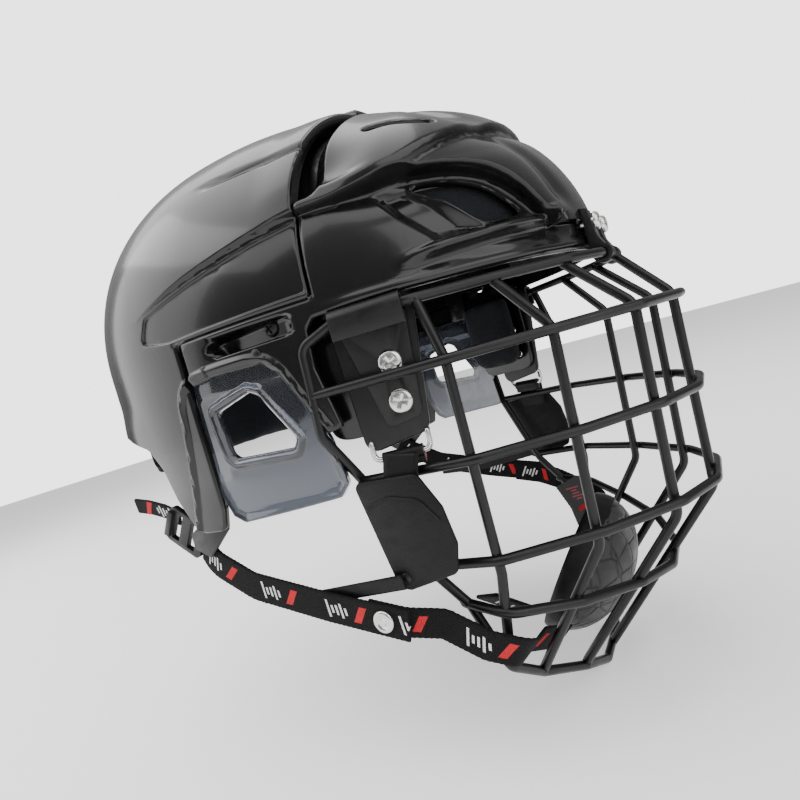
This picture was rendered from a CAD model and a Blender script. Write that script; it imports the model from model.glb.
from math import cos, pi, radians, sin, tan

import bmesh
import bpy
import numpy as np
from mathutils import Matrix, Vector


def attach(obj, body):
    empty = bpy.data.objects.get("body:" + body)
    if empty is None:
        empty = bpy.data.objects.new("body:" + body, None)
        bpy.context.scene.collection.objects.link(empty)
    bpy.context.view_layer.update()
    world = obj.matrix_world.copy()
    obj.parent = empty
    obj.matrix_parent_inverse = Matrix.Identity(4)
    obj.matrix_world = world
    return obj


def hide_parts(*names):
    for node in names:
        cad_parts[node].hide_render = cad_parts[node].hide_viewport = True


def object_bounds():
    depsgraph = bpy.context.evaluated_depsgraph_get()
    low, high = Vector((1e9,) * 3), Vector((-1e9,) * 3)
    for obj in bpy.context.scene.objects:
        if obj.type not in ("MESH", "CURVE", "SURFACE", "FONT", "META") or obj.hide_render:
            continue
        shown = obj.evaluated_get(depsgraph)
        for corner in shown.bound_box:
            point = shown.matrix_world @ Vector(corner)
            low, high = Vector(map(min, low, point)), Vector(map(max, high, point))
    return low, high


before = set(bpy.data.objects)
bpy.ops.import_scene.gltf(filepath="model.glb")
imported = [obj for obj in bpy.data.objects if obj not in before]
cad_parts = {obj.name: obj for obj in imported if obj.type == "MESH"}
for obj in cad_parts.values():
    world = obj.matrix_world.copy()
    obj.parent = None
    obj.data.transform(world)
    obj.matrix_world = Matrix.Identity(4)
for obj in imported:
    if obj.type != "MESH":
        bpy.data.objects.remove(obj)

# Row frame: +Z up, the face looks along -Y, +X is the wearer's left.
# Lengths are in millimetres until build_mesh() turns them into metres;
# only the lights, the bump distances and the pads' voxels are in metres.
MM = 0.001
CAD_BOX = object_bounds()
SIDES = (("right", 1), ("left", -1))

# Driving dimensions. All but the tongue's inset are the CAD's own.
HALF_WIDTH, FRONT_REACH, REAR_REACH = 106.0, 156.5, 119.0
CROWN, ROUNDNESS = 98.6, 2.15
WALL = 3.0
SEAM_Y, SEAM_GAP, SPLIT_Z = -72.0, 1.2, 2.0
SIDE_LEAN, SIDE_X, SIDE_Y = radians(19.8), 81.0, -105.0
WIRE_R, HINGE_Y, HINGE_Z = 2.0, -161.5, -9.5
TONGUE_INSET = 8.3
EYE_Z, NOSE_Z, MOUTH_Z = -34.0, -71.5, -110.0
CLIP_SCREWS = ((-91.0, -29.5), (-91.0, -44.5))
HOOK_IN = 2.9
WEB_WIDE, WEB_THICK = 13.0, 1.5


# ------------------------------------------------------------------ materials
class Nodes:
    """Short way to write a shader graph."""

    def __init__(self, name):
        self.material = bpy.data.materials.new(name)
        self.material.use_nodes = True
        self.tree = self.material.node_tree
        self.shader = self.tree.nodes["Principled BSDF"]

    def link(self, source, target):
        self.tree.links.new(source, target)

    def feed(self, socket, value):
        if isinstance(value, bpy.types.NodeSocket):
            self.link(value, socket)
        elif value is not None:
            socket.default_value = value

    def math(self, kind, a, b=None, c=None):
        node = self.tree.nodes.new("ShaderNodeMath")
        node.operation = kind
        for socket, value in zip(node.inputs, (a, b, c)):
            self.feed(socket, value)
        return node.outputs[0]

    def spot(self, which="Object", scale=(1, 1, 1)):
        source = self.tree.nodes.new("ShaderNodeTexCoord").outputs[which]
        mapping = self.tree.nodes.new("ShaderNodeMapping")
        mapping.inputs["Scale"].default_value = scale
        self.link(source, mapping.inputs["Vector"])
        return mapping.outputs[0]

    def noise(self, scale, detail=4.0, rough=0.55, spot=None, distort=0.0):
        node = self.tree.nodes.new("ShaderNodeTexNoise")
        node.inputs["Scale"].default_value = scale
        node.inputs["Detail"].default_value = detail
        node.inputs["Roughness"].default_value = rough
        node.inputs["Distortion"].default_value = distort
        self.link(spot or self.spot(), node.inputs["Vector"])
        return node.outputs["Fac"]

    def cells(self, scale, feature="F1", random=1.0):
        node = self.tree.nodes.new("ShaderNodeTexVoronoi")
        node.feature = feature
        node.inputs["Scale"].default_value = scale
        node.inputs["Randomness"].default_value = random
        self.link(self.spot(), node.inputs["Vector"])
        return node.outputs["Distance"]

    def axes(self, vector):
        node = self.tree.nodes.new("ShaderNodeSeparateXYZ")
        self.link(vector, node.inputs[0])
        return node.outputs

    def ramp(self, value, low, high, out_low=0.0, out_high=1.0):
        node = self.tree.nodes.new("ShaderNodeMapRange")
        for name, number in (("From Min", low), ("From Max", high),
                             ("To Min", out_low), ("To Max", out_high)):
            node.inputs[name].default_value = number
        self.feed(node.inputs["Value"], value)
        return node.outputs[0]

    def mix(self, factor, a, b):
        node = self.tree.nodes.new("ShaderNodeMix")
        node.data_type = "RGBA"
        self.feed(node.inputs[0], factor)
        self.feed(node.inputs[6], a)
        self.feed(node.inputs[7], b)
        return node.outputs[2]

    def bump(self, height, strength, distance):
        node = self.tree.nodes.new("ShaderNodeBump")
        node.inputs["Strength"].default_value = strength
        node.inputs["Distance"].default_value = distance
        self.link(height, node.inputs["Height"])
        self.link(node.outputs[0], self.shader.inputs["Normal"])

    def set(self, **values):
        for name, value in values.items():
            self.feed(self.shader.inputs[name.replace("_", " ")], value)
        return self


def grey(value, tint=(1, 1, 1)):
    return (value * tint[0], value * tint[1], value * tint[2], 1)


def shell_material():
    """Moulded gloss black: orange peel, hairline scratches, dust in patches."""
    n = Nodes("shell_gloss_black")
    dust = n.ramp(n.noise(22, 5), 0.45, 0.75)
    hair = n.ramp(n.noise(60, 2, 0.4, n.spot(scale=(1, 14, 3))), 0.62, 0.7)
    n.set(Base_Color=n.mix(dust, grey(0.0035), grey(0.006, (1, 1, 1.06))),
          Roughness=n.math("ADD", n.ramp(dust, 0, 1, 0.19, 0.26), n.math("MULTIPLY", hair, 0.05)),
          Coat_Weight=0.2, Coat_Roughness=0.07, IOR=1.4)
    n.bump(n.noise(260, 2), 0.05, 0.0004)
    return n.material


def wire_material():
    """Satin black powder coat, a little rubbed where wires are handled."""
    n = Nodes("cage_wire_black")
    rub = n.ramp(n.noise(35, 5), 0.55, 0.8)
    n.set(Base_Color=n.mix(rub, grey(0.003), grey(0.009, (1, 1, 1.06))), Specular_IOR_Level=0.3,
          Roughness=n.ramp(n.noise(90, 3), 0.3, 0.7, 0.27, 0.42), Coat_Weight=0.06, Coat_Roughness=0.3)
    n.bump(n.noise(1400, 3), 0.25, 0.0003)
    return n.material


def bright_material():
    """Nickel-plated steel with fine polishing marks."""
    n = Nodes("bright_fittings")
    marks = n.noise(120, 3, 0.6, n.spot(scale=(1, 1, 9)))
    n.set(Base_Color=n.mix(n.noise(40), grey(0.52, (1.03, 1, 0.95)), grey(0.74)), Metallic=1.0,
          Roughness=n.ramp(marks, 0.3, 0.7, 0.12, 0.3))
    n.bump(marks, 0.015, 0.0002)
    return n.material


def clear_material():
    """Smoke-tinted clear plastic with faint scuffs."""
    n = Nodes("ear_cover_clear")
    scuff = n.ramp(n.noise(45, 6, 0.6, n.spot(scale=(1, 3, 1))), 0.5, 0.75)
    n.set(Base_Color=grey(0.10, (0.86, 0.95, 1.16)), Transmission_Weight=0.82, IOR=1.46,
          Roughness=n.ramp(scuff, 0, 1, 0.07, 0.22), Coat_Weight=0.5, Coat_Roughness=0.04)
    n.bump(n.noise(35, 2), 0.06, 0.001)
    return n.material


def foam_material():
    """Navy nitrile foam: open skin of fine cells, paler where it is rubbed."""
    n = Nodes("foam_navy")
    cell = n.cells(900)
    n.set(Base_Color=n.mix(n.ramp(n.noise(30, 5), 0.4, 0.75), grey(0.004, (0.8, 0.95, 1.5)),
                           grey(0.010, (0.85, 0.95, 1.4))), Specular_IOR_Level=0.15,
          Roughness=n.ramp(cell, 0, 0.6, 0.95, 0.75), Sheen_Weight=0.05, Sheen_Roughness=0.6)
    n.bump(n.math("ADD", cell, n.math("MULTIPLY", n.noise(70, 4), 1.2)), 0.5, 0.0005)
    return n.material


def rubber_material():
    """Grey cup skin, embossed with shallow cells between narrow grooves."""
    n = Nodes("cup_grey_rubber")
    groove = n.ramp(n.cells(105, "DISTANCE_TO_EDGE", random=0.35), 0.0, 0.09)
    n.set(Base_Color=n.mix(groove, grey(0.011), n.mix(n.noise(60, 4), grey(0.022, (1, 1, 1.03)),
                                                     grey(0.04))), Specular_IOR_Level=0.35,
          Roughness=n.ramp(n.noise(200, 3), 0.3, 0.7, 0.36, 0.55))
    n.bump(n.math("ADD", groove, n.math("MULTIPLY", n.noise(900, 3), 0.1)), 0.7, 0.0009)
    return n.material


def liner_material():
    """Rose knitted liner."""
    n = Nodes("cup_liner_fabric")
    knit = n.cells(620, random=0.25)
    n.set(Base_Color=n.mix(n.ramp(knit, 0, 0.7), grey(0.30, (1, 0.2, 0.25)),
                           grey(0.10, (1, 0.16, 0.2))), Roughness=0.9, Sheen_Weight=0.2)
    n.bump(n.math("SUBTRACT", 1.0, knit), 0.8, 0.0006)
    return n.material


def leather_material():
    """Black tab leather: fine grain, waxed, creased where it flexes."""
    n = Nodes("tab_black_leather")
    grain = n.cells(750, "DISTANCE_TO_EDGE")
    crease = n.noise(45, 6, 0.65, n.spot(scale=(1, 1, 3)), 1.2)
    n.set(Base_Color=n.mix(n.ramp(crease, 0.45, 0.7), grey(0.0025), grey(0.006)), Specular_IOR_Level=0.22,
          Roughness=n.ramp(n.noise(150, 4), 0.3, 0.7, 0.38, 0.55))
    n.bump(n.math("ADD", n.math("MULTIPLY", grain, 1.5), crease), 0.2, 0.0004)
    return n.material


WARP, WEFT = 0.0011, 0.0009            # pitch of the yarns, in metres
MARK_EVERY, BARS = 0.034, 16           # repeat of the woven row, and bars in it
MARK_HALF = 0.0034                     # half height of the row


def webbing_material(name, base, mark, slash):
    """Woven strap: crossing yarns, and a woven row of plain bars and slashes."""
    n = Nodes(name)
    along, across, _ = n.axes(n.spot("UV"))
    warp = n.math("SINE", n.math("MULTIPLY", across, 2 * pi / WARP))
    weft = n.math("SINE", n.math("MULTIPLY", along, 2 * pi / WEFT))
    weave = n.math("MULTIPLY", warp, weft)
    cycle = n.math("FRACT", n.math("MULTIPLY", along, 1 / MARK_EVERY))
    lean = n.math("ADD", cycle, n.math("MULTIPLY", across, 9.0))
    bars = n.math("MULTIPLY",
                  n.math("GREATER_THAN", n.math("FRACT", n.math("MULTIPLY", lean, BARS)), 0.52),
                  n.math("COMPARE", lean, 0.30, 0.16))
    red = n.math("COMPARE", n.math("ADD", cycle, n.math("MULTIPLY", across, -12.0)), 0.62, 0.05)
    inside = n.math("COMPARE", across, 0.0, MARK_HALF)
    number = n.math("FLOOR", n.math("MULTIPLY", lean, BARS))
    tall = n.math("SINE", n.math("MULTIPLY", number, 12.99))   # uneven heights
    tall = n.math("FRACT", n.math("MULTIPLY", tall, 437.6))
    tall = n.math("ADD", n.math("MULTIPLY", tall, 0.0022), 0.0014)
    bars = n.math("MULTIPLY", bars, n.math("COMPARE", across, 0.0, tall))
    colour = n.mix(n.ramp(weave, -1, 1), grey(0.6 * base), grey(1.5 * base))
    colour = n.mix(bars, colour, mark)
    colour = n.mix(n.math("MULTIPLY", red, inside), colour, slash)
    n.set(Base_Color=colour, Roughness=n.ramp(weave, -1, 1, 0.85, 0.6), Specular_IOR_Level=0.15)
    n.bump(weave, 0.6, 0.0004)
    return n.material


def plastic_material(name, base, rough=0.34):
    """Moulded black fitting with a light spark texture."""
    n = Nodes(name)
    n.set(Base_Color=n.mix(n.noise(50, 5), grey(base), grey(1.8 * base)), Specular_IOR_Level=0.3,
          Roughness=n.ramp(n.noise(300, 3), 0.3, 0.7, rough - 0.06, rough + 0.1))
    n.bump(n.noise(1100, 3), 0.12, 0.0003)
    return n.material


WHITE, RED = grey(0.75), grey(0.55, (1, 0.04, 0.05))
LOOKS = {
    "shell_gloss_black": shell_material(),
    "cage_wire_black": wire_material(),
    "bright_fittings": bright_material(),
    "ear_cover_clear": clear_material(),
    "foam_navy": foam_material(),
    "cup_grey_rubber": rubber_material(),
    "cup_liner_fabric": liner_material(),
    "tab_black_leather": leather_material(),
    "webbing_black": webbing_material("webbing_black", 0.004, WHITE, RED),
    "clip_black_plastic": plastic_material("clip_black_plastic", 0.0045),
}
RED_WEB = webbing_material("webbing_inner_face", 0.07, grey(0.4, (1, 0.25, 0.3)), RED)


# ------------------------------------------------------------------ mesh tools
def placed(name, data):
    """New object in the scene."""
    item = bpy.data.objects.new(name, data)
    bpy.context.scene.collection.objects.link(item)
    return item


def build_mesh(name, points, faces, look, body, nodes=(), uv=None, normals=None, smooth=35.0):
    """Piece from points in millimetres, with its material, body and CAD nodes."""
    mesh = bpy.data.meshes.new(name)
    mesh.from_pydata([tuple(float(c) * MM for c in p) for p in points], [], faces)
    mesh.update()
    if uv is not None:
        layer = mesh.uv_layers.new(name="UVMap")
        flat = np.array([uv[i] for face in faces for i in face], np.float32) * MM
        layer.data.foreach_set("uv", flat.ravel())
    mesh.shade_smooth()
    if normals is not None:
        mesh.normals_split_custom_set(normals)
    elif smooth:
        mesh.set_sharp_from_angle(angle=radians(smooth))
    piece = placed(name, mesh)
    mesh.materials.append(LOOKS[look] if isinstance(look, str) else look)
    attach(piece, body)
    if nodes:
        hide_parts(*nodes)
    return piece


def flip(points, side):
    """The points where side is 1, or their mirror image where it is -1."""
    return [(p[0] * side, p[1], p[2]) for p in points]


def arc_points(start, end, steps):
    """Points from one radius to another about their centre."""
    angle = start.angle(end)
    if angle < 0.02:
        return [start.lerp(end, 0.5)]
    return [(start * sin((1 - i / steps) * angle) + end * sin(i / steps * angle)) / sin(angle)
            for i in range(steps + 1)]


def smooth_route(route, bend, steps=7):
    """The route with each corner turned on a radius of bend."""
    route = [Vector(p) for p in route]
    out = [route[0]]
    for before, corner, after in zip(route, route[1:], route[2:]):
        back, ahead = before - corner, after - corner
        angle = back.angle(ahead)
        if pi - angle < 0.02:
            out.append(corner)
            continue
        reach = min(bend / tan(angle / 2), 0.48 * back.length, 0.48 * ahead.length)
        back.normalize()
        ahead.normalize()
        centre = corner + (back + ahead).normalized() * reach / cos(angle / 2)
        start, end = corner + back * reach - centre, corner + ahead * reach - centre
        out += [centre + p for p in arc_points(start, end, steps)]
    return out + [route[-1]]


def spaced(route, step):
    """The same line with points at an even spacing of about one step."""
    route = [np.array(p, float) for p in route]
    runs = np.array([np.linalg.norm(b - a) for a, b in zip(route, route[1:])])
    along = np.concatenate([[0], np.cumsum(runs)])
    count = max(2, int(round(along[-1] / step)) + 1)
    places = np.linspace(0, along[-1], count)
    line = np.array([[np.interp(s, along, [p[k] for p in route]) for k in range(3)] for s in places])
    return [Vector(p) for p in line]


def sweep(route, section, flat=None, ends=1.0, edge=None, carry=False):
    """Points, faces and UVs of a section drawn along a route.

    flat is the way a strap's face looks, carry lets it turn with the route,
    edge(i) widens the section at point i, and ends is how far the caps stand out.
    """
    count = len(section)
    tangents = [(route[min(i + 1, len(route) - 1)] - route[max(i - 1, 0)]).normalized()
                for i in range(len(route))]
    across = Vector(flat) if flat else tangents[0].orthogonal()
    points, uv, along = [], [], 0.0
    for i, (spot, ahead) in enumerate(zip(route, tangents)):
        along += (spot - route[i - 1]).length if i else 0.0
        if flat and not carry:
            across = Vector(flat)
        across = (across - ahead * across.dot(ahead)).normalized()
        wide = ahead.cross(across)
        grow = edge(i) if edge else 1.0
        points += [spot + across * a + wide * b * grow for a, b in section]
        uv += [(along, b) for a, b in section]
    faces = [[i * count + j, i * count + (j + 1) % count, (i + 1) * count + (j + 1) % count,
              (i + 1) * count + j] for i in range(len(route) - 1) for j in range(count)]
    for row, way, sign in ((0, -tangents[0], 1), (len(route) - 1, tangents[-1], -1)):
        ring = list(range(row * count, (row + 1) * count))
        centre = route[row]
        for depth, shrink in ((0.5, 0.85), (0.8, 0.5)):
            new = list(range(len(points), len(points) + count))
            points += [centre + (points[k] - centre) * shrink + way * ends * depth for k in ring]
            uv += [uv[k] for k in ring]
            for j in range(count):
                face = [ring[j], ring[(j + 1) % count], new[(j + 1) % count], new[j]]
                faces.append(face if sign < 0 else face[::-1])
            ring = new
        faces.append(ring if sign < 0 else ring[::-1])
    return points, faces, uv


def circle(radius, count=16):
    """Round section."""
    return [(radius * cos(2 * pi * k / count), radius * sin(2 * pi * k / count))
            for k in range(count)]


def strap_section(thick, wide, columns=8):
    """Flat strap section with rounded selvedges."""
    half = wide / 2 - thick / 2
    upper = [(thick / 2, half * (1 - 2 * k / columns)) for k in range(columns + 1)]
    bend = [(thick / 2 * cos(a), -half - thick / 2 * sin(a)) for a in (pi / 4, pi / 2, 3 * pi / 4)]
    lower = [(-a, -b) for a, b in upper]
    return upper + bend + lower + [(-a, -b) for a, b in bend]


def tube(name, route, bend, look, body, nodes=(), radius=WIRE_R):
    """Round wire along a route."""
    points, faces, _ = sweep(smooth_route(route, bend), circle(radius), ends=radius)
    return build_mesh(name, points, faces, look, body, nodes, smooth=0)


WEB_STEP, TOOTH = 1.1, 0.035      # spacing along a strap, and how far a tooth stands out


def strap(name, route, bend, wide, body, nodes=(), flat=(1, 0, 0), look="webbing_black",
          thick=WEB_THICK, side=1, ribbed=True, carry=False):
    """Webbing along a route, with the small saw teeth of its woven edges."""
    line = spaced(smooth_route(flip(route, side), bend), WEB_STEP)
    flat = (flat[0] * side, flat[1], flat[2])
    tooth = (lambda i: 1.0 + (TOOTH if i % 2 else 0.0)) if ribbed else None
    points, faces, uv = sweep(line, strap_section(thick, wide), flat, 0.3, tooth, carry)
    return build_mesh(name, points, faces, look, body, nodes, uv=uv)


def revolve(profile, spot, axis, count=40):
    """Turned shape: profile is (radius, height) pairs up the axis."""
    axis = Vector(axis).normalized()
    side = axis.orthogonal().normalized()
    other = axis.cross(side)
    points = [Vector(spot) + axis * h + (side * cos(t) + other * sin(t)) * r
              for r, h in profile for t in (2 * pi * k / count for k in range(count))]
    rows = len(profile)
    faces = [[i * count + k, i * count + (k + 1) % count, (i + 1) * count + (k + 1) % count,
              (i + 1) * count + k] for i in range(rows - 1) for k in range(count)]
    faces += [list(range(count))[::-1], list(range((rows - 1) * count, rows * count))]
    return points, faces


def joined(*parts):
    """Several (points, faces) as one."""
    points, faces = [], []
    for some_points, some_faces in parts:
        shift = len(points)
        points += list(some_points)
        faces += [[i + shift for i in face] for face in some_faces]
    return points, faces


def span(a, b, c, d, steps):
    """Catmull-Rom points from b up to c."""
    return [0.5 * (2 * b + (c - a) * t + (2 * a - 5 * b + 4 * c - d) * t ** 2
                   + (3 * b - a - 3 * c + d) * t ** 3)
            for t in np.linspace(0, 1, steps, endpoint=False)]


def curve(points, steps=14):
    """Smooth line through the points."""
    knots = np.array(points, float)
    knots = np.vstack([2 * knots[0] - knots[1], knots, 2 * knots[-1] - knots[-2]])
    return [p for k in range(len(knots) - 3) for p in span(*knots[k:k + 4], steps)] + [knots[-2]]


def loop(*points, steps=10):
    """Closed smooth outline through the points."""
    knots = np.array(points, float)
    return [p for k in range(len(knots))
            for p in span(*(knots[(k + j) % len(knots)] for j in (-1, 0, 1, 2)), steps)]


# ------------------------------------------------------------- moulded shells
def radius_at(z):
    """Share of the full outline that the head form keeps at height z."""
    return max(0.0, 1 - (max(z, 0) / CROWN) ** ROUNDNESS) ** (1 / ROUNDNESS)


def on_form(y, z):
    """Point of the right half of the head form with this side view."""
    reach = FRONT_REACH if y < 0 else REAR_REACH
    return (-HALF_WIDTH * max(0.0, radius_at(z) ** 2 - (y / reach) ** 2) ** 0.5, y, z)


RISE_SPAN = 160.0         # rise of the crown's top; below 0 a rise is a height
ON_LEVEL = 0.08           # a point this near a cut counts as on it
NO_LENGTH = 1e-9
ON_MIDDLE = 1e-3          # points this near the middle plane are shared


def head_form(at, inset=0.0):
    """Points of the right half of the form at (turn from the front, rise)."""
    turn, rise = np.radians(at[:, 0]), at[:, 1]
    up = np.clip(rise / RISE_SPAN, 0, 1) * pi / 2
    keep = np.maximum(np.cos(up), 0) ** (2 / ROUNDNESS)
    z = np.where(rise < 0, rise, (CROWN - inset) * np.sin(up) ** (2 / ROUNDNESS))
    reach = np.where(np.cos(turn) > 0, FRONT_REACH, REAR_REACH) - inset
    return np.stack([-(HALF_WIDTH - inset) * keep * np.sin(turn), -reach * keep * np.cos(turn), z], 1)


def normals_of(surface, at, turn_step=0.06, rise_step=0.12):
    """Outward normals of a surface from small steps to each side."""
    turn, rise = np.array([turn_step, 0]), np.array([0, rise_step])
    across = surface(at + turn) - surface(at - turn)
    upward = surface(at + rise) - surface(at - rise)
    normal = np.cross(upward, across)
    length = np.linalg.norm(normal, axis=1, keepdims=True)
    return np.where(length > NO_LENGTH, normal / np.maximum(length, NO_LENGTH), (0, 0, 1))


class Skin:
    """Right half of a moulded skin, kept as (turn, rise) points and faces."""

    def __init__(self, turns, rises, inset=0.0):
        self.inset = inset
        self.at = [(t, r) for r in rises for t in turns]
        wide = len(turns)
        self.faces = [[i * wide + j, (i + 1) * wide + j, (i + 1) * wide + j + 1, i * wide + j + 1]
                      for i in range(len(rises) - 1) for j in range(wide - 1)]

    def split(self, field, level=0.0, keep=None):
        """Adds points where the field crosses a level; keep drops one side."""
        value = field(head_form(np.array(self.at, float), self.inset)) - level
        mark = np.where(np.abs(value) < ON_LEVEL, 0, np.sign(value)).astype(int)
        made, faces = {}, []
        for face in self.faces:
            signs = mark[face]
            if signs.max() <= 0 or signs.min() >= 0:
                above = signs.max() > 0
                if keep is None or above == (keep > 0):
                    faces.append(face)
                continue
            upper, lower = [], []
            for a, b in zip(face, face[1:] + face[:1]):
                if mark[a] >= 0:
                    upper.append(a)
                if mark[a] <= 0:
                    lower.append(a)
                if mark[a] * mark[b] < 0:
                    pair = (min(a, b), max(a, b))
                    if pair not in made:
                        share = value[pair[0]] / (value[pair[0]] - value[pair[1]])
                        first, second = self.at[pair[0]], self.at[pair[1]]
                        made[pair] = len(self.at)
                        self.at.append((first[0] + (second[0] - first[0]) * share,
                                        first[1] + (second[1] - first[1]) * share))
                    upper.append(made[pair])
                    lower.append(made[pair])
            if (keep is None or keep > 0) and len(upper) > 2:
                faces.append(upper)
            if (keep is None or keep < 0) and len(lower) > 2:
                faces.append(lower)
        self.faces = faces

    def build(self, name, height, thick, look, body, nodes=(), sides=(1, -1), edge=None):
        """Closed skin of both halves (or one), height(points) proud of the form.

        Its normals come from the surface, not from the faces.
        """
        used = sorted({i for face in self.faces for i in face})
        number = {old: new for new, old in enumerate(used)}
        at = np.array([self.at[i] for i in used])
        faces = [[number[i] for i in face] for face in self.faces]

        def form(spots):
            return head_form(spots, self.inset)

        def outside(spots):
            base = form(spots)
            out = base + normals_of(form, spots) * height(base)[:, None]
            return out + (edge(base) if edge else 0)

        base = form(at)
        flat = normals_of(form, at)
        outer, shade = outside(at), normals_of(outside, at)
        inner = base + flat * (np.minimum(height(base), 0) - thick)[:, None]
        count = len(at)
        whole = len(sides) == 2
        edges = dict.fromkeys((a, b) for face in faces for a, b in zip(face, face[1:] + face[:1]))
        shared = np.abs(base[:, 0]) < ON_MIDDLE
        open_edges = [(a, b) for a, b in edges if (b, a) not in edges
                      and not (whole and shared[a] and shared[b])]
        points, all_faces, normals, middle = [], [], [], {}
        for side in sides:
            mirror = np.array([side, 1, 1])
            ids = []
            for layer, spots in enumerate((outer, inner)):
                for i in range(count):
                    key = (layer, i)
                    if side == -1 and whole and shared[i]:
                        ids.append(middle[key])
                        continue
                    middle[key] = len(points)
                    ids.append(len(points))
                    points.append(spots[i] * mirror)
            inside = [[i + count for i in reversed(f)] for f in faces]
            for block, normal in ((faces, shade), (inside, -flat)):
                for face in block:
                    order = face if side > 0 else face[::-1]
                    all_faces.append([ids[i] for i in order])
                    normals += [tuple(normal[i % count] * mirror) for i in order]
            for a, b in open_edges:
                face = [b, a, a + count, b + count]
                order = face if side > 0 else face[::-1]
                all_faces.append([ids[i] for i in order])
                normals += [(0, 0, 0)] * 4
        return build_mesh(name, points, all_faces, look, body, nodes, normals=normals)


def side_area(*outline):
    """Field of a side-view outline (y, z): distance inside it."""
    return lambda points: area_distance(points[:, 1:], outline)


def plan_area(*outline):
    """Field of an outline seen from above (x, y) on the right half."""
    return lambda points: area_distance(points[:, :2], outline)


def area_distance(points, outline):
    """Distance to a flat outline, positive inside it."""
    corners = np.array(outline, float)
    best = np.full(len(points), 1e9)
    inside = np.zeros(len(points), bool)
    for a, b in zip(corners, np.roll(corners, -1, 0)):
        run = b - a
        share = np.clip(((points - a) @ run) / (run @ run), 0, 1)
        best = np.minimum(best, np.linalg.norm(points - a - share[:, None] * run, axis=1))
        crosses = (a[1] > points[:, 1]) != (b[1] > points[:, 1])
        rise = np.where(abs(run[1]) < 1e-9, 1e-9, run[1])
        inside ^= crosses & (points[:, 0] < a[0] + (points[:, 1] - a[1]) * run[0] / rise)
    return np.where(inside, best, -best)


def line_field(route):
    """Distance to a 3-D line, positive above it, with the share along it."""
    route = np.array(route, float)
    runs = np.linalg.norm(np.diff(route, axis=0), axis=1)
    starts = np.concatenate([[0], np.cumsum(runs)]) / runs.sum()

    def field(points):
        best, above = np.full(len(points), 1e9), np.zeros(len(points))
        along = np.zeros(len(points))
        for k, (a, b) in enumerate(zip(route, route[1:])):
            run = b - a
            share = np.clip(((points - a) @ run) / (run @ run), 0, 1)
            foot = a + share[:, None] * run
            gap = np.linalg.norm(points - foot, axis=1)
            near = gap < best
            best = np.where(near, gap, best)
            above = np.where(near, points[:, 2] - foot[:, 2], above)
            along = np.where(near, starts[k] + share * (starts[k + 1] - starts[k]), along)
        return np.where(above >= 0, best, -best), along
    return field


def ease(value, low, high):
    """Smooth step from 0 at low to 1 at high."""
    t = np.clip((value - low) / (high - low), 0, 1)
    return t * t * (3 - 2 * t)


def hump(value, middle, half):
    """Smooth bump, 1 in the middle and 0 at half to each side."""
    return ease(1 - np.abs(value - middle) / half, 0, 1)


# Wing: the rolled lip along each side, from behind the ear to the forehead.
WING_LIP = [on_form(y, z) for y, z in curve((
    (14, 17), (-20, 25), (-51.5, 30.4), (-69, 33), (-84, 33.2), (-97, 35), (-108, 36.8),
    (-121, 35.5), (-133, 30), (-141, 21.5), (-147, 11), (-149.5, 6)))]
BRIM_RIB = [on_form(y, z) for y, z in curve(((-100, 4), (-115, 6.2), (-128.5, 7.2), (-149, 9.5)))]
BRIM_EDGE = [on_form(y, z) for y, z in curve((
    (-70, -4), (-100, -4), (-130, -4), (-150, -3.4), (-156.4, -3)))]
EAR_TRIM = [on_form(y, z) for y, z in curve((
    (13, -77), (7.5, -60), (2.5, -38), (-0.5, -22), (-7, -14.8), (-20, -12.8), (-42, -13.6),
    (-51, -18.5), (-57.5, -32), (-64.5, -47)))]
wing, rib = line_field(WING_LIP), line_field(BRIM_RIB)
brim, trim = line_field(BRIM_EDGE), line_field(EAR_TRIM)

FRONT_SHELL_SIDE = side_area((SEAM_Y, 130), (-170, 130), (-170, -5.5), (-70, -5.5), (-66.5, -9),
                             (-65.5, -24), (-69.5, -48), (-62, -49.5), (-55.5, -32), (-50.5, -22),
                             (-45, -16.6), (-20, -15.6), (-9, -17), (-9, SPLIT_Z - 1),
                             (SEAM_Y, SPLIT_Z - 1))
REAR_SHELL_SIDE = side_area((SEAM_Y + SEAM_GAP, 130), (130, 130), (130, -27), (92, -28), (62, -31),
                            (38, -38), (29, -48), (24, -63), (16, -76), (10, -79), (-3, -79),
                            (-6, -70), (-6, SPLIT_Z), (SEAM_Y + SEAM_GAP, SPLIT_Z))
SIDE_VENT = side_area(*loop((-111, 33.2), (-122, 32.6), (-132.5, 27.6), (-139.5, 19.5), (-142.5, 13.2),
                            (-138, 11.6), (-131, 12), (-121, 23.5)))
FACET = side_area((-98, 33), (-110, 34), (-118, 27), (-130, 9.4), (-116, 9.2), (-105, 22))
SHOULDER = plan_area(*curve(((-90, -60), (-86, -76.3), (-79.8, -90), (-70.6, -104.4),
                             (-59.8, -114.2), (-46.3, -123), (-27, -130.5), (-10, -133.5),
                             (10, -133.5))), (60, -90), (60, -60))
TOP_VENT = plan_area(*loop((-58.5, -93), (-52.5, -104), (-46.5, -115), (-49, -115.5), (-56.5, -103),
                           (-61.5, -95)))
BROW_VENT = plan_area(*loop((-24, -103), (-29, -105), (-31.5, -112), (-29.5, -116.5), (-25, -113)))
REAR_SLOT = plan_area((-30, 44), (-37.5, 46), (-38, 68), (-34, 73), (-30.5, 70))
CROWN_SLOT = plan_area((-30, -38), (-35.5, -36), (-37, -8), (-34, -1), (-30.5, -5))
SIZE_POCKET = side_area((-60, -9), (-24, -9), (-22.5, -6), (-24, -1.6), (-60, -1.6), (-61.5, -5))
SIDE_PANEL = side_area((9, 17.2), (-20, 23.2), (-51.5, 28.6), (-70, 31), (-70, 4), (-40, 3.5),
                       (-2, 3.2), (13, 6), (13.5, 9))
POCKET_FLOOR = 95.3
POCKET_EDGE = 0.5                 # half width of the pocket's wall, seen from the side
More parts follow.
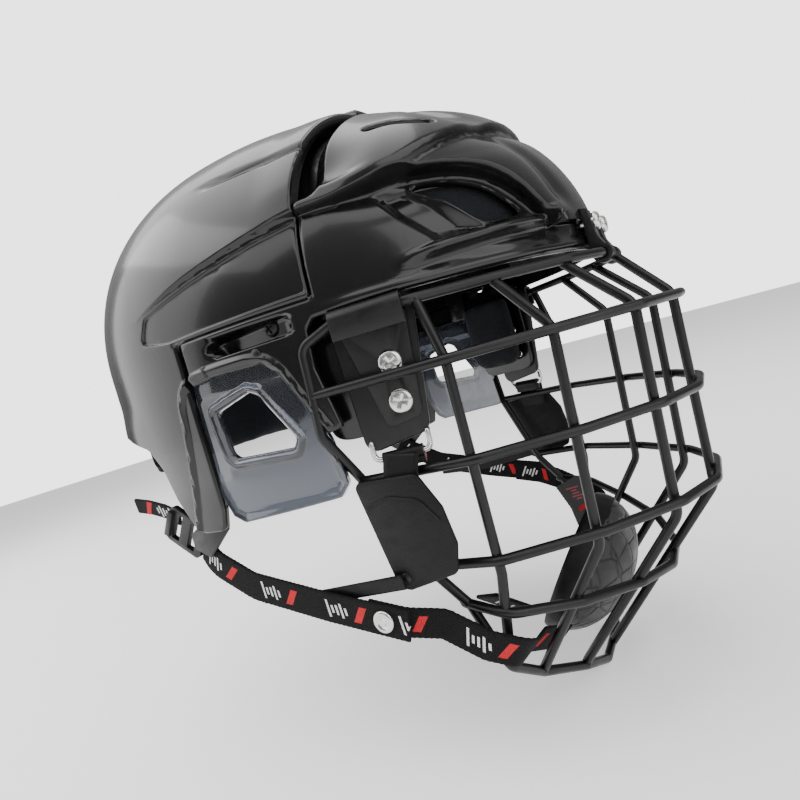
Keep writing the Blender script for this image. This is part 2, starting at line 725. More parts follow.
CORNER = 1.1                      # round of the shells' cut edges
CUT_ROWS = (0.35, 0.75, CORNER)   # rows of points beside a cut edge


def common_height(p):
    """Swellings and creases that run over both shells, in millimetres."""
    y = p[:, 1]
    above, _ = wing(p)
    grown = ease(-y, 20, 100)
    tip = 1 - 0.35 * ease(-y, 138, 154)
    live = ease(-y, -20, 20) * tip
    roll = ease(above, -0.4, 1.2) * np.exp(-(np.maximum(above, 0) / 26.0) ** 2)
    height = live * roll * (1.4 + 3.4 * grown)
    under = np.exp(np.minimum(above, 0) / 9.0) * (1 - ease(above, -0.4, 0.5))
    height -= live * under * (0.9 + 3.6 * ease(-y, 78, 105))
    return height


def front_height(p):
    """How proud the front shell's skin is of the head form."""
    x, y, z = -p[:, 0], p[:, 1], p[:, 2]
    height = common_height(p)
    step = SHOULDER(p)
    live = ease(-y, 82, 104) * ease(z, 30, 38)
    height += 2.8 * live * ease(step, -1.4, 1.4) * np.exp(-(np.maximum(step, 0) / 40.0) ** 2)
    height -= 1.5 * live * (1 - ease(step, -1.4, 0.2)) * np.exp(-(step / 8.0) ** 2)
    # low start behind the seam, and the scoop that runs forward from it
    height -= 5.4 * ease(y, SEAM_Y - 9.5, SEAM_Y - 3.5) * ease(z, 35, 41)
    scoop = np.exp(-((z - 46 - 0.30 * (y + 85)) / 8.5) ** 2)
    height -= 4.8 * ease(y, -101, -78) * scoop * ease(z, 37.5, 41.5)
    # shallow dishes round the crown vents
    dish = ((x - 27 + 0.12 * (y + 108)) / 10.5) ** 2 + ((y + 110) / 19.0) ** 2
    height -= 4.2 * np.exp(-dish ** 1.5)
    # channel between the wing and the middle of the forehead
    front = ease(-y, 120, 140)
    channel = np.exp(-((x - 22 - 0.12 * (z - 10)) / 5.5) ** 2) * ease(z, 8, 20)
    height -= 2.2 * channel * (1 - ease(z, 38, 54)) * front
    height += 1.2 * np.exp(-(x / 12.0) ** 2) * ease(z, 2, 14) * (1 - ease(z, 44, 60)) * front
    # facet that falls into the side vent, and the ribs of the brim
    height -= 4.2 * ease(FACET(p), -1.5, 3.5)
    gap, along = rib(p)
    height += 3.0 * ease(along, 0.0, 0.3) * hump(gap, 0, 3.2)
    height -= 1.3 * hump(gap, -4.6, 2.4) * ease(along, 0, 0.2)
    edge, _ = brim(p)
    height += 1.6 * hump(edge, 0.4, 3.6) * ease(-y, 70, 92)
    # bead that frames the ear cover
    height += 1.3 * hump(np.abs(trim(p)[0]), 0, 2.6) * ease(-z, 7, 11)
    pocket = ease(SIZE_POCKET(p), -POCKET_EDGE, POCKET_EDGE)
    return height * (1 - pocket) + pocket * (POCKET_FLOOR - x)


def rear_height(p):
    """How proud the rear shell's skin is of the head form."""
    x, y, z = -p[:, 0], p[:, 1], p[:, 2]
    height = common_height(p)
    height += 1.5 * ease(-y, 52, 71) * ease(z, 33, 44)
    # raised spine over the crown, with its square rear end, and a flank crease
    spine = ease(21.5 + 0.05 * y - x, -0.9, 0.9) * (1 - ease(y, 101, 103.5))
    height += 2.1 * spine * ease(z, 20, 40)
    crease = z - 62 - 0.05 * (y + 50)
    height -= 0.9 * hump(crease, 0, 1.8) * ease(-y, 18, 30) * ease(x, 60, 68)
    height += 0.8 * ease(crease, 0, 3) * np.exp(-np.maximum(z - 62, 0) / 14) * ease(-y, 10, 34)
    height -= 1.2 * ease(SIDE_PANEL(p), -0.5, 0.7)
    # nape: the lower rear rolls outwards a little, and the ear trim stands up
    height += 1.3 * ease(-z, 14, 30) * ease(y, 30, 60)
    height += 1.5 * hump(np.abs(trim(p)[0]), 0, 2.8) * ease(-z, 9, 14)
    dish = ((x - 34) / 9.0) ** 2 + ((y - 58) / 22.0) ** 2
    return height - 2.6 * np.exp(-dish ** 2)


def rounding(*fields, radius=CORNER):
    """Rolls the skin inwards along its cut edges."""
    def edge(points):
        depth = np.full(len(points), radius)
        for field in fields:
            depth = np.minimum(depth, np.abs(field(points)))
        left = 1 - np.clip(depth / radius, 0, 1)
        drop = radius * (1 - np.sqrt(1 - left ** 2 * 0.96))
        middle = points * np.array([1, 1, 0])
        lean = middle / np.maximum(np.linalg.norm(middle, axis=1, keepdims=True), 1e-6)
        high = ease(points[:, 2], 20, 95)[:, None]
        inward = -(lean * (1 - high) + np.array([0, 0, 1]) * high)
        return inward * drop[:, None]
    return edge


def cut_edges(skin, field, keep):
    """Cuts the skin at a field, with more rows of points for its rolled edge."""
    skin.split(field, 0.0, keep)
    for level in CUT_ROWS:
        skin.split(field, level * keep)


# Rows of points that the creases need: each field and the levels it is cut at.
SHELL_TURNS, SHELL_RISES = list(np.linspace(0, 180, 151)), list(np.arange(-82, 160.1, 2.0))
FRONT_ROWS = (
    (lambda p: wing(p)[0], (-0.4, -0.1, 0.2, 0.5, 0.85, 1.3)),
    (SHOULDER, (-1.4, -0.4, 0.6, 1.4)),
    (lambda p: rib(p)[0], (-2.8, -1.4, 0, 1.4, 2.8, -4.6)),
    (lambda p: np.abs(trim(p)[0]), (0.8, 1.8, 2.6)),
    (SIZE_POCKET, (-POCKET_EDGE, 0, POCKET_EDGE)),
    (FACET, (-1.5, -0.5, 0.5, 1.5, 2.5, 3.5)),
    (lambda p: p[:, 1], [SEAM_Y - back for back in (9.5, 8, 6.5, 5, 3.5)]),
    (lambda p: p[:, 2], (35, 37, 39, 41)),
)
REAR_ROWS = (
    (lambda p: wing(p)[0], (-0.4, 0.5, 1.4)),
    (lambda p: 21.5 + 0.05 * p[:, 1] + p[:, 0], (-0.9, 0, 0.9)),
    (lambda p: p[:, 1], (101, 102.2, 103.5)),
    (SIDE_PANEL, (-0.5, 0.1, 0.7)),
    (lambda p: np.abs(trim(p)[0]), (0.8, 1.8, 2.8)),
)


def make_shell(node, body, height, border, vents, rows):
    """One of the two shells, cut to its border, with its vents open."""
    skin = Skin(SHELL_TURNS, SHELL_RISES)
    cut_edges(skin, border, 1)
    for vent in vents:
        cut_edges(skin, vent, -1)
    for field, levels in rows:
        for level in levels:
            skin.split(field, level)
    skin.build(node + "_skin", height, WALL, "shell_gloss_black", body, (node,),
               edge=rounding(border, *vents))


def make_tongue():
    """Tongue of the front shell, which slides under the rear shell."""
    skin = Skin(list(np.linspace(0, 180, 121)), list(np.arange(-2, 160.1, 3.0)), TONGUE_INSET)
    skin.split(side_area((-79, 130), (-52, 130), (-52, 3), (-79, 3)), 0, 1)
    skin.build("front_shell_tongue", lambda p: p[:, 0] * 0, 2.2, "shell_gloss_black",
               "front_helmet")


make_shell("front_shell", "front_helmet", front_height, FRONT_SHELL_SIDE,
           (SIDE_VENT, TOP_VENT, BROW_VENT), FRONT_ROWS)
make_shell("rear_shell", "rear_helmet", rear_height, REAR_SHELL_SIDE,
           (REAR_SLOT, CROWN_SLOT), REAR_ROWS)
make_tongue()


# ----------------------------------------------------------------------- cage
def side_x(y):
    """Half width of the leaning side plane at a fore-aft station."""
    return SIDE_X + (y - SIDE_Y) * tan(SIDE_LEAN)


def side_frame(y, z, out=0.0):
    """Spot on the right side plane, its outward way and its forward way."""
    outward = Vector((-cos(SIDE_LEAN), -sin(SIDE_LEAN), 0))
    forward = Vector((sin(SIDE_LEAN), -cos(SIDE_LEAN), 0))
    return Vector((-side_x(y), y, z)) + outward * out, outward, forward


# Uprights: half spacing and (y, z) corners. Hoops: bend and the right half's corners.
UPRIGHT_BEND = 9
UPRIGHTS = {
    "outer_bar": (80, [(-105.5, -11), (-110.6, EYE_Z), (-109.5, MOUTH_Z - 6), (-103.5, -150)]),
    "middle_bar": (60, [(-129.0, -11), (-145.5, EYE_Z + 1), (-141.8, -116), (-107.5, -165.5)]),
    "inner_bar": (36, [(-150.0, -11), (-171.0, EYE_Z + 1), (-167.3, -116), (-117.5, -177)]),
    "centre_bar": (0, [(-163.5, -10.5), (-182.0, EYE_Z + 1), (-179.8, -117), (-121.0, -188.5)]),
}
HOOPS = {
    "eye_hoop": (12, [(-side_x(-62), -62, EYE_Z), (-82.5, -113, EYE_Z), (-62, -149, EYE_Z),
                      (-37.5, -174.0, EYE_Z), (-15, -184.6, EYE_Z)]),
    "nose_hoop": (12, [(-87.5, -66, NOSE_Z), (-82.3, -112.6, NOSE_Z), (-62, -147.6, NOSE_Z),
                       (-37.5, -172.9, NOSE_Z), (-15, -183.9, NOSE_Z)]),
    "mouth_hoop": (12, [(-83.0, -82, MOUTH_Z), (-82.2, -111.6, MOUTH_Z), (-62, -145.4, MOUTH_Z),
                        (-37.5, -171.0, MOUTH_Z), (-15, -182.4, MOUTH_Z)]),
    "jaw_hoop": (10, [(-79.5, -91, -127), (-81.5, -108.5, -131), (-60.5, -130.5, -137.5),
                      (-36.5, -148.4, -142), (-12, -157.5, -146.3)]),
    "top_bar": (8, [(-side_x(-76), -76, HINGE_Z), (-side_x(-103), -103, HINGE_Z),
                    (-60, -131, HINGE_Z), (-36, -152.6, HINGE_Z), (-19, HINGE_Y, HINGE_Z)]),
    "edge_wire": (6, [(-side_x(-76), -76, HINGE_Z), (-side_x(-62), -62, HINGE_Z - 6),
                      (-side_x(-60.2), -60.2, -50), (-86.0, -66, -73), (-81.5, -81, -112),
                      (-79.5, -93, -128), (-79.5, -102.5, -153), (-60, -106.5, -167.5),
                      (-36, -116.5, -179.5), (-14, -119.5, -190)]),
}
WELD_REACH, WELD_R, WELD_APART = 4.3, 2.15, 9


def weld_spots(first, second):
    """Middles of the places where two wires lie against each other."""
    gaps = np.linalg.norm(first[:, None] - second[None], axis=2)
    spots = []
    for i, j in zip(*np.where(gaps < WELD_REACH)):
        spot = (first[i] + second[j]) / 2
        near = [k for k, (s, g) in enumerate(spots) if np.linalg.norm(s - spot) < WELD_APART]
        if not near:
            spots.append((spot, gaps[i, j]))
        elif gaps[i, j] < spots[near[0]][1]:
            spots[near[0]] = (spot, gaps[i, j])
    return [s for s, _ in spots]


WELD_PROFILE = [(0.05, -WELD_R), (0.9, -1.95), (1.7, -1.3), (WELD_R, -0.4), (WELD_R, 0.4),
                (1.7, 1.3), (0.9, 1.95), (0.05, WELD_R)]


def make_wire(node, route, bend):
    """One wire of the cage; gives its middle line for the welds."""
    tube(node + "_wire", route, bend, "cage_wire_black", "cage", (node,))
    return np.array(spaced(smooth_route(route, bend), 1.0))


def make_cage():
    """Uprights, hoops, and a weld wherever two of them lie together."""
    uprights, hoops = [], []
    for name, (half, profile) in UPRIGHTS.items():
        for side_name, side in SIDES if half else (("", 1),):
            node = name + ("_" + side_name if side_name else "")
            route = [(-half * side, y, z) for y, z in profile]
            uprights.append(make_wire(node, route, UPRIGHT_BEND))
    for node, (bend, right) in HOOPS.items():
        hoops.append(make_wire(node, right + flip(reversed(right), -1), bend))
    pairs = [(bar, hoop) for bar in uprights for hoop in hoops]
    pairs += [(hoop, hoops[-1]) for hoop in hoops[:-1]]
    lumps = [revolve(WELD_PROFILE, spot, (0, 0.3, 1), 12)
             for first, second in pairs for spot in weld_spots(first, second)]
    points, faces = joined(*lumps)
    build_mesh("cage_welds", points, faces, "cage_wire_black", "cage", smooth=0)


# ------------------------------------------------------------ rigid fittings
SHARP = radians(50)


def set_look(piece, look, body, nodes):
    """Body, slot and CAD nodes of a piece."""
    mesh = piece.data
    mesh.materials.clear()
    mesh.materials.append(LOOKS[look])
    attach(piece, body)
    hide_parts(*nodes)


def turned_out(piece, round_by=None):
    """Faces the piece's surface outwards, and breaks its corners by round_by."""
    shape = bmesh.new()
    shape.from_mesh(piece.data)
    bmesh.ops.recalc_face_normals(shape, faces=shape.faces)
    if round_by:
        edges = [e for e in shape.edges if e.calc_face_angle(0) > SHARP]
        bmesh.ops.bevel(shape, geom=edges, offset=round_by * MM, segments=3, profile=0.5,
                        affect="EDGES", clamp_overlap=True)
    shape.to_mesh(piece.data)
    shape.free()
    return piece


def softened(node, look, body, width=0.35, cuts=2, sharp=32.0):
    """The CAD node with its corners broken, as a moulded or pressed part has them."""
    shape = bmesh.new()
    shape.from_mesh(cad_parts[node].data)
    bmesh.ops.remove_doubles(shape, verts=shape.verts, dist=1e-6)
    bmesh.ops.dissolve_limit(shape, angle_limit=radians(1.5), verts=shape.verts, edges=shape.edges)
    corners = [e for e in shape.edges if len(e.link_faces) == 2
               and e.calc_face_angle(0) > radians(sharp)]
    bmesh.ops.bevel(shape, geom=corners, offset=width * MM, segments=cuts, profile=0.5,
                    affect="EDGES", clamp_overlap=True)
    mesh = bpy.data.meshes.new(node + "_piece")
    shape.to_mesh(mesh)
    shape.free()
    mesh.shade_smooth()
    mesh.set_sharp_from_angle(angle=SHARP)
    set_look(placed(node + "_piece", mesh), look, body, (node,))


def screw(spot, axis, size, turn=0.4):
    """Pan head screw with a cross recess; the spot is under its head."""
    head_r, head_h, shank_r, shank = size
    axis = Vector(axis).normalized()
    side = axis.orthogonal().normalized()
    other = axis.cross(side)
    rings, count = 24, 80
    points, faces = [], []
    for k in range(rings + 1):
        r = head_r * max(k, 0.05) / rings
        share = r / head_r
        dome = head_h * max(0.0, 1 - share ** 4.5) ** 0.5 * (1 - 0.14 * share ** 2)
        for t in (2 * pi * j / count for j in range(count)):
            u, v = abs(r * cos(t + turn)), abs(r * sin(t + turn))
            wide, long = 0.15 * head_r, 0.60 * head_r
            slot = min(max(u - wide, v - long), max(v - wide, u - long))
            depth = 0.72 * head_h * min(1.0, max(0.0, (0.10 - slot) / 0.24)) * (1.1 - share)
            points.append(Vector(spot) + axis * (dome - depth) + side * r * cos(t) + other * r * sin(t))
    for k in range(rings):
        for j in range(count):
            a, b = k * count + j, k * count + (j + 1) % count
            faces.append([a, a + count, b + count, b])
    faces.append(list(range(count)))
    under = [(head_r, 0.02), (head_r * 0.96, -0.12), (shank_r, -0.12), (shank_r, -shank),
             (shank_r * 0.7, -shank - 0.8)]
    return joined((points, faces), revolve(under[::-1], spot, axis, 24))


def slab(name, outline, depth, look, body, place, round_by=0.8, nodes=()):
    """Plate of an outline, with its corners broken; place(u, v, w) sets it."""
    count = len(outline)
    points = [place(u, v, w) for w in depth for u, v in outline]
    faces = [list(range(count)), list(range(count, 2 * count))[::-1]]
    faces += [[(k + 1) % count, k, k + count, (k + 1) % count + count] for k in range(count)]
    piece = turned_out(build_mesh(name, points, faces, look, body, nodes, smooth=0), round_by)
    piece.data.shade_smooth()
    piece.data.set_sharp_from_angle(angle=SHARP)


def cornered(outline, bend):
    """Closed outline with its corners rounded."""
    points = [Vector((u, v, 0)) for u, v in outline]
    start = (points[-1] + points[0]) / 2
    return [(p.x, p.y) for p in smooth_route([start] + points + [start], bend, 5)[:-1]]


def on_side(y, z, side):
    """Placer on the side plane: u forwards and v up from (y, z), w outwards."""
    def place(u, v, w):
        spot, _, ahead = side_frame(y, z + v, w)
        spot = spot + ahead * u
        return (spot.x * side, spot.y, spot.z)
    return place


PLATE_OUTLINE, PLATE_DEPTH = [(-15, 27), (20, 27), (13, -25), (-13, -29)], (-7.0, -4.4)
TEMPLE_OUTLINE = loop((-19, 27), (0, 28), (19, 27), (20, 10), (20, -10), (17, -24), (0, -25.5),
                      (-17, -24), (-20, -10), (-20, 10))
TEMPLE_DEPTH = (-9.8, -7.1)
TAB_OUTLINE, TAB_DEPTH = [(-56, 12), (-44, 12), (-44, -13), (-56, -13)], (88.8, 91.2)
LEDGE_STATIONS, LEDGE_DEPTH = (-97, -84, -72, -63), (-5.6, -2.6)
LAP_STATIONS, LAP_DEPTH, LAP_OUT = (-67, -57, -48, -39, -30, -21, -12), (-1.0, 9.0), (4.2, 6.0)
SIDE_LOOP = [side_frame(y, z, out)[0] for y, z, out in (
    (-97, -57.5, -5.4), (-97, -57.5, -4.0), (-97, -64.6, -4.0),
    (-76, -64.6, -4.0), (-76, -57.5, -4.0), (-76, -57.5, -5.4))]
SOFTENED = (("side_clip_", "clip_black_plastic", "front_helmet", 0.35),
            ("forehead_clip_", "clip_black_plastic", "front_helmet", 0.5),
            ("tab_keeper_", "tab_black_leather", "front_helmet", 0.3),
            ("strap_anchor_", "clip_black_plastic", "rear_helmet", 0.4),
            ("rear_buckle_", "clip_black_plastic", "rear_helmet", 0.6))


def make_plates():
    """Plates, the shells' inner ledges and tabs, clips and loops of each side."""
    for name, side in SIDES:
        slab("front_shell_temple_" + name, TEMPLE_OUTLINE, TEMPLE_DEPTH, "shell_gloss_black",
             "front_helmet", on_side(-80, -29, side))
        ledge = [(side_frame(y, -3, TEMPLE_DEPTH[0])[0].x, y) for y in LEDGE_STATIONS]
        ledge += [(on_form(y, -4)[0] + 1.2, y) for y in reversed(LEDGE_STATIONS)]
        slab("front_shell_ledge_" + name, ledge, LEDGE_DEPTH, "shell_gloss_black", "front_helmet",
             lambda u, v, w: (u * side, v, w))
        slab("side_plate_" + name + "_pressed", cornered(PLATE_OUTLINE, 5), PLATE_DEPTH,
             "clip_black_plastic", "front_helmet", on_side(-86, -33, side), 0.7,
             ("side_plate_" + name,))
        slab("rear_shell_tab_" + name, cornered(TAB_OUTLINE, 3), TAB_DEPTH, "shell_gloss_black",
             "rear_helmet", lambda u, v, w: (-w * side, u, v), 0.5)
        lap = [(on_form(y, SPLIT_Z)[0] + LAP_OUT[0], y) for y in LAP_STATIONS]
        lap += [(on_form(y, SPLIT_Z)[0] + LAP_OUT[1], y) for y in reversed(LAP_STATIONS)]
        slab("rear_shell_lap_" + name, lap, LAP_DEPTH, "shell_gloss_black", "rear_helmet",
             lambda u, v, w: (u * side, v, w), 0.4)
        for node, look, body, width in SOFTENED:
            softened(node + name, look, body, width)
        tube("side_loop_" + name + "_wire", flip(SIDE_LOOP, side), 2.5, "bright_fittings",
             "front_helmet", ("side_loop_" + name,), 1.1)


# Screw sizes: head radius and height, shank radius and length.
CLIP_SCREW, FOREHEAD_SCREW, SIZE_SCREW = (4.8, 1.5, 2.3, 6.5), (4.0, 2.2, 1.8, 9), (3.3, 1.9, 1.9, 6)


def make_screws():
    """The clip, forehead and size screws, one piece for each set."""
    clip, forehead, size = [], [], []
    for side in (1, -1):
        for k, (y, z) in enumerate(CLIP_SCREWS):
            spot, out, _ = side_frame(y, z, -HOOK_IN)
            clip.append(screw((spot.x * side, spot.y, spot.z), (out.x * side, out.y, 0),
                              CLIP_SCREW, 0.3 + k))
        forehead.append(screw((9 * side, -161.3, 4.5), (0, -1, 0), FOREHEAD_SCREW, side))
        size.append(screw((-POCKET_FLOOR * side, -50, -4.5), (-side, 0, 0), SIZE_SCREW))
    for node, parts, look, body in (
            ("side_clip_screws", clip, "bright_fittings", "front_helmet"),
            ("forehead_screws", forehead, "bright_fittings", "front_helmet"),
            ("size_screws", size, "clip_black_plastic", "rear_helmet")):
        points, faces = joined(*parts)
        build_mesh(node + "_turned", points, faces, look, body, (node,), smooth=30)


# Turned heads: (radius, height) from the edge to the middle.
DOME = [(2.6, -0.1), (2.6, 0.0), (2.4, 0.3), (1.9, 0.62), (1.0, 0.93), (0.05, 1.0)]
BUTTON = [(4.4, -0.9), (4.5, 0.15), (4.3, 0.6), (3.7, 0.95), (2.8, 0.85), (2.3, 0.35), (1.5, 0.35),
          (1.2, 0.75), (0.05, 0.75)]
SMALL_HEAD = [(2.2, -0.3), (2.1, 0.1), (1.6, 0.35), (0.8, 0.55), (0.05, 0.6)]
RIVETS = {
    "ear_cover_rivets": (DOME, [on_form(-18.0, -12.8), on_form(-44.0, -12.8)],
                         "clip_black_plastic", "front_helmet"),
    "strap_snaps": (BUTTON, [(-99.9, -66, -123.4)], "bright_fittings", "front_helmet"),
    "tab_rivets": (SMALL_HEAD, [(-93.9, -77.5, -109.5)], "clip_black_plastic", "cage"),
}


def make_rivets():
    """Rivets and snaps, one piece for each set."""
    for node, (profile, spots, look, body) in RIVETS.items():
        turned = [revolve(profile, (x * side, y, z), (-side, 0, 0), 32)
                  for side in (1, -1) for x, y, z in spots]
        points, faces = joined(*turned)
        build_mesh(node + "_turned", points, faces, look, body, (node,), smooth=40)


# ---------------------------------------------------------------- ear covers
EAR_COVER = side_area((-5, -12), (-4, -60), (-9, -73.5), (-14, -77), (-60, -74.5), (-64, -70),
                      (-62, -52), (-56.5, -30), (-52, -12))
EAR_WINDOW = side_area((-15, -30), (-33, -25.5), (-37, -27.5), (-48.5, -48), (-46.5, -51.5),
                       (-19, -50.5), (-16.5, -48))


def cover_height(p):
    """Raised rim round the window, rolled lower lip and a slight belly."""
    window, border = EAR_WINDOW(p), EAR_COVER(p)
    rim = 1.7 * hump(window, -2.2, 2.4)
    lip = 1.3 * (1 - ease(border, 0.0, 4.0)) * ease(-p[:, 2], 50, 62)
    step = 0.8 * ease(-p[:, 2], 22, 25)
    return rim + lip + step


def make_ear_covers():
    """Clear covers, each with its window."""
    for name, side in SIDES:
        skin = Skin(list(np.linspace(62, 91, 60)), list(np.arange(-79, -9, 1.6)), inset=3.4)
        cut_edges(skin, EAR_COVER, 1)
        cut_edges(skin, EAR_WINDOW, -1)
        for level in (-4.6, -3.4, -2.2):
            skin.split(EAR_WINDOW, level)
        skin.split(EAR_COVER, 2.4)
        skin.build("ear_cover_" + name + "_skin", cover_height, 2.0, "ear_cover_clear", "front_helmet",
                   ("ear_cover_" + name,), sides=(side,), edge=rounding(EAR_COVER, EAR_WINDOW, radius=0.9))


# ------------------------------------------------------------------- webbing
REAR_ROUTE = [(-94.95, 26, -88.5), (-97.2, 21, -92.5), (-98.5, 16, -96), (-98.5, -2, -107),
              (-98.5, -40, -117.5), (-98.5, -76, -126)]
UNDER_ROUTE = [(-96.4, -58, -121.8), (-95.9, -74, -126), (-90.5, -86, -129.5), (-89.1, -101, -139),
               (-83.4, -112.3, -145.5), (-60, -107.6, -153.5), (-38, -110, -165)]
LINK_ROUTE = [(-96, -3, -113.5), (-96, -36, -114.5), (-95.8, -77, -110)]
WEB_ROUTE = [(-72.5, -97, -128), (-62, -106, -139), (-48, -112, -147)]
TAIL_ROUTE = [(-95.0, 38, -73), (-95.0, 46.5, -68.5), (-95.0, 57, -65.2), (-95.0, 67, -63.2)]
TAB_TONGUE = [(-87.6, -86, -63.5), (-89.4, -85, -70), (-90.3, -84, -79)]
TAB_SEAM = [(-94.0, -68.5, -81), (-94.0, -79, -77.5), (-94.0, -92, -80), (-94.0, -98, -88)]


def make_straps():
    """Webbing, link straps, chin tabs and the keepers' tongues of each side."""
    for name, side in SIDES:
        strap("rear_strap_" + name + "_web", REAR_ROUTE, 20, WEB_WIDE, "front_helmet",
              ("rear_strap_" + name,), side=side)
        strap("under_strap_" + name + "_web", UNDER_ROUTE, 7, WEB_WIDE, "cage",
              ("under_strap_" + name,), (1, -0.3, 0), side=side, carry=True)
        strap("chin_web_" + name + "_web", WEB_ROUTE, 8, 15.0, "cage", ("chin_web_" + name,),
              (1, -0.5, 0.1), RED_WEB if side < 0 else "webbing_black", side=side, carry=True)
        strap("link_strap_" + name + "_band", LINK_ROUTE, 20, 6.0, "front_helmet",
              ("link_strap_" + name,), look="tab_black_leather", side=side, ribbed=False)
        strap("strap_tail_" + name + "_web", TAIL_ROUTE, 6, 8.0, "rear_helmet",
              ("strap_tail_" + name,), (1, 0, 0.2), side=side)
        softened("chin_tab_" + name, "tab_black_leather", "cage", 0.8, 3)
        strap("tab_keeper_" + name + "_tongue", TAB_TONGUE, 3, 15.0, "front_helmet", (),
              look="tab_black_leather", thick=1.4, side=side, ribbed=False)
        tube("chin_tab_" + name + "_seam", flip(TAB_SEAM, side), 8, "tab_black_leather", "cage",
             radius=0.45)


# ------------------------------------------------------------------ chin cup
CUP_CENTRE, CUP_TILT, CUP_SIZE = Vector((0, -115, -147)), radians(38), (38, 24, 33)
CUP_MOUTH, CUP_FACING = Vector((0, -113, -143)), Vector((0, 0.86, 0.52)).normalized()
CUP_COUNT, RIM_OUT = 96, 1.0      # points round a ring, and how far the rim stands out


def cup_points(grow, rows, first):
    """Rings of an ellipsoid cap from its front pole, or nearer, to its mouth."""
    lean = Matrix.Rotation(CUP_TILT, 3, "X")
    size = Vector([s + grow for s in CUP_SIZE])
    way = lean.transposed() @ CUP_FACING
    scaled = Vector([size[k] * way[k] for k in range(3)])
    limit = (CUP_MOUTH - CUP_CENTRE).dot(CUP_FACING) / scaled.length
    pole = -scaled.normalized()
    side = pole.cross(Vector((1, 0, 0))).normalized()
    other = pole.cross(side)
    far = np.arccos(-limit)
    out = []
    for k in range(rows):
        a = far * (first + (1 - first) * max(k, 0.02) / (rows - 1))
        for t in (2 * pi * j / CUP_COUNT for j in range(CUP_COUNT)):
            ball = pole * cos(a) + (side * cos(t) + other * sin(t)) * sin(a)
            out.append(CUP_CENTRE + lean @ Vector([size[i] * ball[i] for i in range(3)]))
    return out


def cap(name, outer_grow, inner_grow, look, nodes=(), rows=30, first=0.0):
    """Cup wall between two sizes, with a rolled rim; a band where first isn't 0."""
    count = CUP_COUNT
    outer, inner = cup_points(outer_grow, rows, first), cup_points(inner_grow, rows, first)
    points = outer + inner
    size = rows * count
    faces = []
    for k in range(rows - 1):
        for j in range(count):
            a, b = k * count + j, k * count + (j + 1) % count
            faces.append([a, b, b + count, a + count])
            faces.append([size + a, size + a + count, size + b + count, size + b])
    if first:
        faces += [[j, (j + 1) % count, size + (j + 1) % count, size + j] for j in range(count)]
    else:
        faces += [list(range(count))[::-1], [size + j for j in range(count)]]
    last = (rows - 1) * count
    rim = [len(points) + j for j in range(count)]
    points += [(outer[last + j] + inner[last + j]) / 2 + CUP_FACING * RIM_OUT for j in range(count)]
    for j in range(count):
        n = (j + 1) % count
        faces.append([last + j, last + n, rim[n], rim[j]])
        faces.append([rim[j], rim[n], size + last + n, size + last + j])
    return turned_out(build_mesh(name, points, faces, look, "cage", nodes, smooth=70))


def make_cup():
    """Cup, the band round its rim, and its liner."""
    cap("chin_cup_skin", 0, -3, "cup_grey_rubber", ("chin_cup",))
    cap("chin_cup_band", 0.9, -0.4, "tab_black_leather", rows=8, first=0.80)
    cap("chin_cup_liner_knit", -3.2, -7, "cup_liner_fabric", ("chin_cup_liner",))


# ----------------------------------------------------------------- foam pads
VOXEL, PRESSURE, SWELL, SHRINK = 0.0045, 4.0, 2.2, 1.0
SWELL_FRAMES = 20


def foam(node, body):
    """Foam pad: the CAD solid remeshed, blown up a little as cloth, then smoothed."""
    piece = placed(node + "_foam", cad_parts[node].data.copy())
    bpy.context.view_layer.objects.active = piece

    def apply(modifier):
        with bpy.context.temp_override(object=piece, active_object=piece, selected_objects=[piece]):
            bpy.ops.object.modifier_apply(modifier=modifier.name)

    remesh = piece.modifiers.new("remesh", "REMESH")
    remesh.mode, remesh.voxel_size = "VOXEL", VOXEL
    apply(remesh)
    soften = piece.modifiers.new("soften", "SMOOTH")
    soften.factor, soften.iterations = 0.5, 3
    apply(soften)
    normals = np.array([v.normal for v in piece.data.vertices])
    start = np.array([v.co for v in piece.data.vertices]) - normals * SHRINK * MM
    piece.data.vertices.foreach_set("co", start.ravel())
    cloth = piece.modifiers.new("cloth", "CLOTH")
    cloth.settings.use_pressure = True
    cloth.settings.uniform_pressure_force = PRESSURE
    cloth.settings.quality = 4
    cloth.settings.effector_weights.gravity = 0
    cloth.point_cache.frame_start, cloth.point_cache.frame_end = 1, SWELL_FRAMES
    for tick in range(1, SWELL_FRAMES + 1):
        bpy.context.scene.frame_set(tick)
    apply(cloth)
    bpy.context.scene.frame_set(1)
    swollen = np.array([v.co for v in piece.data.vertices])
    move = swollen - start
    far = np.linalg.norm(move, axis=1, keepdims=True)
    move *= np.minimum(1, SWELL * MM / np.maximum(far, NO_LENGTH))
    piece.data.vertices.foreach_set("co", (start + move).ravel())
    subdivide = piece.modifiers.new("finer", "SUBSURF")
    subdivide.levels = 1
    apply(subdivide)
    piece.data.shade_smooth()
    set_look(piece, "foam_navy", body, (node,))


def make_pads():
    """All the foam, on the shell that carries it."""
    for node in ("brow_pad", "temple_pad_right", "temple_pad_left"):
        foam(node, "front_helmet")
    for node in ("rear_pad", "crown_pad", "side_pad_right", "side_pad_left"):
        foam(node, "rear_helmet")


make_cage()
make_plates()
make_screws()
make_rivets()
make_ear_covers()
make_straps()
make_cup()
make_pads()


# -------------------------------------------------------- camera, light, floor
CAMERA_SPOT = (-264.05, -196.21, -32.50)
CAMERA_LOOK = Vector((0.85991, 0.50662, -0.05544))
CAMERA_RIGHT = Vector((0.47520, -0.83631, -0.27205))
LENS, SENSOR = 25.19, 36.0
FLOOR_HALF, FLOOR_GAP = 4000, 2.0
BACKDROP = 3.0
ROOM_GLOW = (("From Min", -0.2), ("From Max", 0.9), ("To Min", 0.05), ("To Max", 0.75))

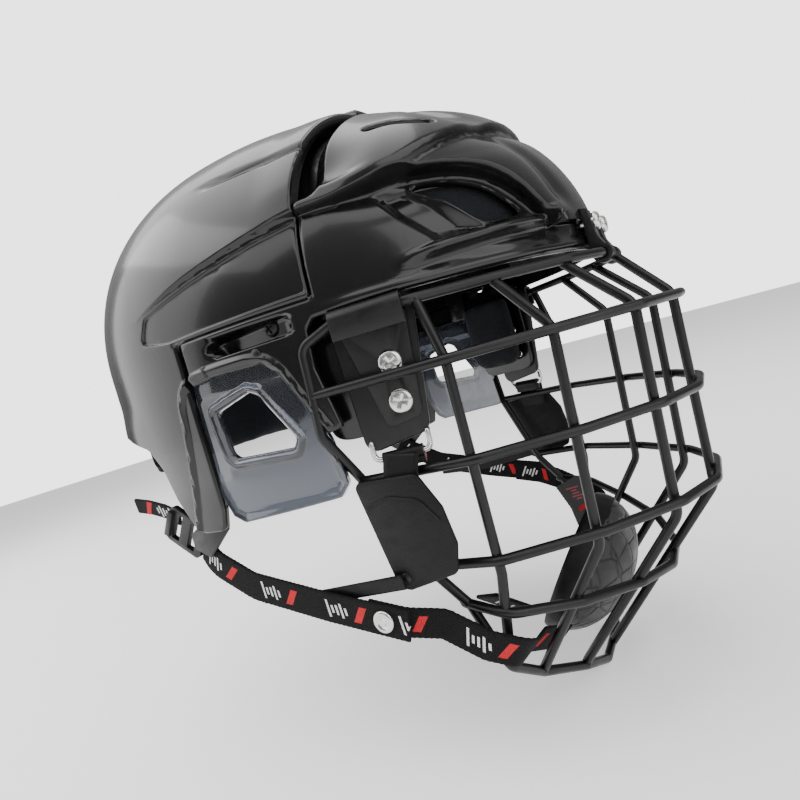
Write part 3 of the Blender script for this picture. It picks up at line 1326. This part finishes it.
# Lights, in metres and watts: spot, target, width and depth, power.
LIGHTS = {
    "overhead": ((-0.2, 0.3, 1.2), (0, 0, 0), (2.2, 1.8), 26),
    "rear_left": ((-0.5, 0.95, 0.35), (0, 0, 0), (1.1, 1.6), 12),
    "front_left": ((-0.45, -1.0, 0.45), (0, -0.1, -0.05), (1.1, 1.0), 8),
}


def make_camera():
    """Camera where the object is seen from at rest."""
    data = bpy.data.cameras.new("camera")
    data.lens, data.sensor_width = LENS, SENSOR
    camera = placed("camera", data)
    back = -CAMERA_LOOK.normalized()
    upward = back.cross(CAMERA_RIGHT).normalized()
    right = upward.cross(back)
    matrix = Matrix((right, upward, back)).transposed().to_4x4()
    matrix.translation = Vector(CAMERA_SPOT) * MM
    camera.matrix_world = matrix
    bpy.context.scene.camera = camera


def make_lights():
    """Soft rectangular lights, each aimed at its target."""
    for name, (spot, target, size, power) in LIGHTS.items():
        data = bpy.data.lights.new(name, "AREA")
        data.energy = power
        data.shape = "RECTANGLE"
        data.size, data.size_y = size
        lamp = placed(name, data)
        lamp.location = spot
        lamp.rotation_euler = (Vector(target) - Vector(spot)).to_track_quat("-Z", "Y").to_euler()


def make_floor():
    """Pale floor just under the object."""
    low = CAD_BOX[0][2] / MM - FLOOR_GAP
    corners = [(x * FLOOR_HALF, y * FLOOR_HALF, low) for x, y in ((-1, -1), (1, -1), (1, 1), (-1, 1))]
    mesh = bpy.data.meshes.new("floor")
    mesh.from_pydata([tuple(c * MM for c in p) for p in corners], [], [(0, 1, 2, 3)])
    paint = Nodes("floor_pale")
    paint.set(Base_Color=grey(0.92), Roughness=0.9, Specular_IOR_Level=0.1,
              Emission_Color=grey(1.0), Emission_Strength=0.4)
    mesh.materials.append(paint.material)
    placed("floor", mesh)


def make_world():
    """Room that glows from above, in front of a plain white backdrop."""
    world = bpy.data.worlds.new("studio")
    bpy.context.scene.world = world
    world.use_nodes = True
    tree = world.node_tree
    new, link = tree.nodes.new, tree.links.new
    room, backdrop = tree.nodes["Background"], new("ShaderNodeBackground")
    height, shade = new("ShaderNodeSeparateXYZ"), new("ShaderNodeMapRange")
    pick, seen = new("ShaderNodeMixShader"), new("ShaderNodeLightPath")
    link(new("ShaderNodeTexCoord").outputs["Generated"], height.inputs[0])
    link(height.outputs[2], shade.inputs["Value"])
    for key, number in ROOM_GLOW:
        shade.inputs[key].default_value = number
    link(shade.outputs[0], room.inputs["Strength"])
    backdrop.inputs["Strength"].default_value = BACKDROP
    for background in (room, backdrop):
        background.inputs["Color"].default_value = (1, 1, 1, 1)
    link(seen.outputs["Is Camera Ray"], pick.inputs[0])
    link(room.outputs[0], pick.inputs[1])
    link(backdrop.outputs[0], pick.inputs[2])
    link(pick.outputs[0], tree.nodes["World Output"].inputs["Surface"])


make_camera()
make_lights()
make_floor()
make_world()
